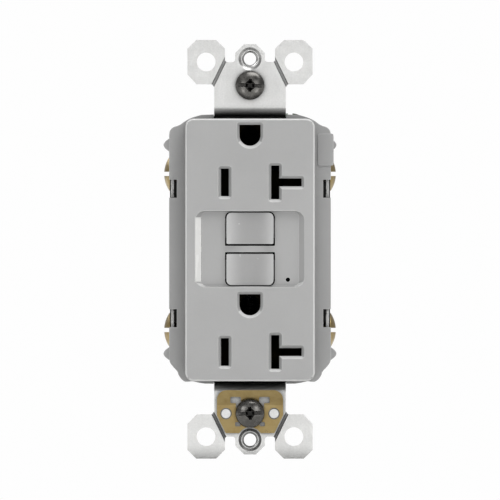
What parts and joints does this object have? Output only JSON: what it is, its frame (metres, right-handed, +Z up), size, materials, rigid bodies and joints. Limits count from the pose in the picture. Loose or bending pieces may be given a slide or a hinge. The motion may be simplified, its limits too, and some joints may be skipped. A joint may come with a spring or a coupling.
{
  "type": "gfci outlet",
  "caption": "Duplex ground-fault wall outlet with test and reset buttons, status light, break-off ears, side terminal screws and a trip mechanism.",
  "frame": {"origin": "centre of the strap's rear plane, which lies on the wall", "axes": "+Z up along the strap, +Y back into the wall box, +X right as seen from the front"},
  "size_m": [0.044, 0.0336, 0.1064],
  "materials": {
    "cover_plastic": "satin moulded grey",
    "housing_plastic": "matte moulded grey",
    "inner_plastic": "matte black",
    "light_guide": "milky clear moulding",
    "zinc_steel": "bright zinc plate",
    "dark_steel": "dark nickel plate",
    "brass": "satin brass",
    "bronze": "phosphor bronze strip",
    "copper": "enamelled copper",
    "fibre": "pressed fibre",
    "board": "solder mask",
    "core": "coated tape core",
    "green_steel": "dark green chromate",
    "chip_black": "moulded black",
    "blue_dip": "dipped coating"
  },
  "bodies": {
    "housing": {"front_cover": "cover_plastic", "rear_housing": "housing_plastic", "mounting_strap": "zinc_steel", "self_grounding_clip": "brass", "status_light_pipe": "light_guide", "fault_light_pipe": "light_guide", "contact_carrier": "inner_plastic", "hot_contact_strip": "brass", "neutral_contact_strip": "brass", "ground_contact_upper": "brass", "ground_contact_lower": "brass", "circuit_board": "board", "sensing_transformer_core": "core", "neutral_transformer_core": "core", "transformer_housing": "inner_plastic", "solenoid_bobbin": "inner_plastic", "solenoid_coil": "copper", "solenoid_frame": "zinc_steel", "plunger_spring": "zinc_steel", "reset_spring": "zinc_steel", "test_button_spring": "zinc_steel", "varistor": "blue_dip", "filter_capacitor": "blue_dip", "controller_chip": "chip_black", "trip_thyristor": "chip_black", "test_resistor": "chip_black", "status_led": "light_guide", "fault_led": "light_guide", "assembly_screw_1": "zinc_steel", "assembly_screw_2": "zinc_steel", "assembly_screw_3": "zinc_steel", "assembly_screw_4": "zinc_steel", "line_hot_terminal": "brass", "line_neutral_terminal": "brass", "load_hot_terminal": "brass", "load_neutral_terminal": "brass"},
    "line_hot_clamp": {"line_hot_pressure_plate": "zinc_steel"},
    "line_hot_screw": {"line_hot_screw": "brass"},
    "line_neutral_clamp": {"line_neutral_pressure_plate": "zinc_steel"},
    "line_neutral_screw": {"line_neutral_screw": "brass"},
    "load_hot_clamp": {"load_hot_pressure_plate": "zinc_steel"},
    "load_hot_screw": {"load_hot_screw": "brass"},
    "load_neutral_clamp": {"load_neutral_pressure_plate": "zinc_steel"},
    "load_neutral_screw": {"load_neutral_screw": "brass"},
    "ground_clamp": {"ground_pressure_plate": "zinc_steel"},
    "ground_screw": {"ground_screw": "green_steel"},
    "retainer_top": {"screw_retainer_top": "fibre"},
    "fixing_screw_top": {"mounting_screw_top": "dark_steel"},
    "retainer_bottom": {"screw_retainer_bottom": "fibre"},
    "fixing_screw_bottom": {"mounting_screw_bottom": "dark_steel"},
    "test_button": {"test_button": "cover_plastic"},
    "test_leaf": {"test_contact_leaf": "bronze"},
    "reset_button": {"reset_button": "cover_plastic", "reset_pin": "dark_steel"},
    "latch_block": {"latch_block": "inner_plastic"},
    "hot_arm": {"hot_contact_arm": "bronze"},
    "neutral_arm": {"neutral_contact_arm": "bronze"},
    "trip_plunger": {"trip_plunger": "dark_steel"},
    "latch_plate": {"latch_plate": "zinc_steel"}
  },
  "joints": [
    {"name": "line_hot_clamp_travel", "type": "slide", "parent": "housing", "child": "line_hot_clamp", "axis": [1, 0, 0], "range_m": [0, 0.0018]},
    {"name": "line_hot_screw_turn", "type": "hinge", "parent": "line_hot_clamp", "child": "line_hot_screw", "pos_m": [-0.0204, 0.0098, 0.01916], "axis": [1, 0, 0], "range_deg": [0, 817]},
    {"name": "line_neutral_clamp_travel", "type": "slide", "parent": "housing", "child": "line_neutral_clamp", "axis": [-1, 0, 0], "range_m": [0, 0.0018]},
    {"name": "line_neutral_screw_turn", "type": "hinge", "parent": "line_neutral_clamp", "child": "line_neutral_screw", "pos_m": [0.0204, 0.0098, 0.01916], "axis": [-1, 0, 0], "range_deg": [0, 817]},
    {"name": "load_hot_clamp_travel", "type": "slide", "parent": "housing", "child": "load_hot_clamp", "axis": [1, 0, 0], "range_m": [0, 0.0018]},
    {"name": "load_hot_screw_turn", "type": "hinge", "parent": "load_hot_clamp", "child": "load_hot_screw", "pos_m": [-0.0204, 0.0098, -0.0205], "axis": [1, 0, 0], "range_deg": [0, 817]},
    {"name": "load_neutral_clamp_travel", "type": "slide", "parent": "housing", "child": "load_neutral_clamp", "axis": [-1, 0, 0], "range_m": [0, 0.0018]},
    {"name": "load_neutral_screw_turn", "type": "hinge", "parent": "load_neutral_clamp", "child": "load_neutral_screw", "pos_m": [0.0204, 0.0098, -0.0205], "axis": [-1, 0, 0], "range_deg": [0, 817]},
    {"name": "ground_clamp_travel", "type": "slide", "parent": "housing", "child": "ground_clamp", "axis": [0, 0, -1], "range_m": [0, 0.0013]},
    {"name": "ground_screw_turn", "type": "hinge", "parent": "ground_clamp", "child": "ground_screw", "pos_m": [0.0102, 0.0093, 0.0329], "axis": [0, 0, -1], "range_deg": [0, 590]},
    {"name": "fixing_screw_top_shift", "type": "slide", "parent": "housing", "child": "retainer_top", "axis": [1, 0, 0], "range_m": [-0.0016, 0.0016]},
    {"name": "fixing_screw_top_turn", "type": "hinge", "parent": "retainer_top", "child": "fixing_screw_top", "pos_m": [0, 0, 0.04167], "axis": [0, 1, 0], "continuous": true},
    {"name": "fixing_screw_bottom_shift", "type": "slide", "parent": "housing", "child": "retainer_bottom", "axis": [1, 0, 0], "range_m": [-0.0016, 0.0016]},
    {"name": "fixing_screw_bottom_turn", "type": "hinge", "parent": "retainer_bottom", "child": "fixing_screw_bottom", "pos_m": [0, 0, -0.04167], "axis": [0, 1, 0], "continuous": true},
    {"name": "test_press", "type": "slide", "parent": "housing", "child": "test_button", "axis": [0, 1, 0], "range_m": [0, 0.0013], "stiffness_N_per_m": 900, "springref_m": -0.0005, "deforming": ["test_button_spring"]},
    {"name": "test_leaf_bend", "type": "hinge", "parent": "housing", "child": "test_leaf", "pos_m": [0, 0.01245, 0.011], "axis": [1, 0, 0], "range_deg": [0, 14]},
    {"name": "reset_press", "type": "slide", "parent": "housing", "child": "reset_button", "axis": [0, 1, 0], "range_m": [0, 0.002], "stiffness_N_per_m": 1100, "springref_m": -0.0005, "deforming": ["reset_spring"]},
    {"name": "contact_lift", "type": "slide", "parent": "housing", "child": "latch_block", "axis": [0, -1, 0], "range_m": [0, 0.0013], "stiffness_N_per_m": 300, "springref_m": -0.0005},
    {"name": "hot_contact_close", "type": "hinge", "parent": "housing", "child": "hot_arm", "pos_m": [-0.01, 0.0125, 0.006], "axis": [-1, 0, 0], "range_deg": [0, 7.5]},
    {"name": "neutral_contact_close", "type": "hinge", "parent": "housing", "child": "neutral_arm", "pos_m": [0.01, 0.0125, 0.006], "axis": [-1, 0, 0], "range_deg": [0, 7.5]},
    {"name": "trip_stroke", "type": "slide", "parent": "housing", "child": "trip_plunger", "axis": [0, 0, 1], "range_m": [0, 0.001], "stiffness_N_per_m": 150, "springref_m": -0.0005, "deforming": ["plunger_spring"]},
    {"name": "latch_release", "type": "slide", "parent": "latch_block", "child": "latch_plate", "axis": [0, 0, 1], "range_m": [0, 0.001]}
  ],
  "couplings": [
    {"joint": "line_hot_screw_turn", "follows": "line_hot_clamp_travel", "rad_per_m": 7913.3},
    {"joint": "line_neutral_screw_turn", "follows": "line_neutral_clamp_travel", "rad_per_m": 7913.3},
    {"joint": "load_hot_screw_turn", "follows": "load_hot_clamp_travel", "rad_per_m": 7913.3},
    {"joint": "load_neutral_screw_turn", "follows": "load_neutral_clamp_travel", "rad_per_m": 7913.3},
    {"joint": "ground_screw_turn", "follows": "ground_clamp_travel", "rad_per_m": 7913.3},
    {"joint": "test_leaf_bend", "follows": "test_press", "rad_per_m": 180},
    {"joint": "hot_contact_close", "follows": "contact_lift", "rad_per_m": 94.3},
    {"joint": "neutral_contact_close", "follows": "contact_lift", "rad_per_m": 94.3},
    {"joint": "latch_release", "follows": "trip_stroke", "ratio": 1}
  ]
}
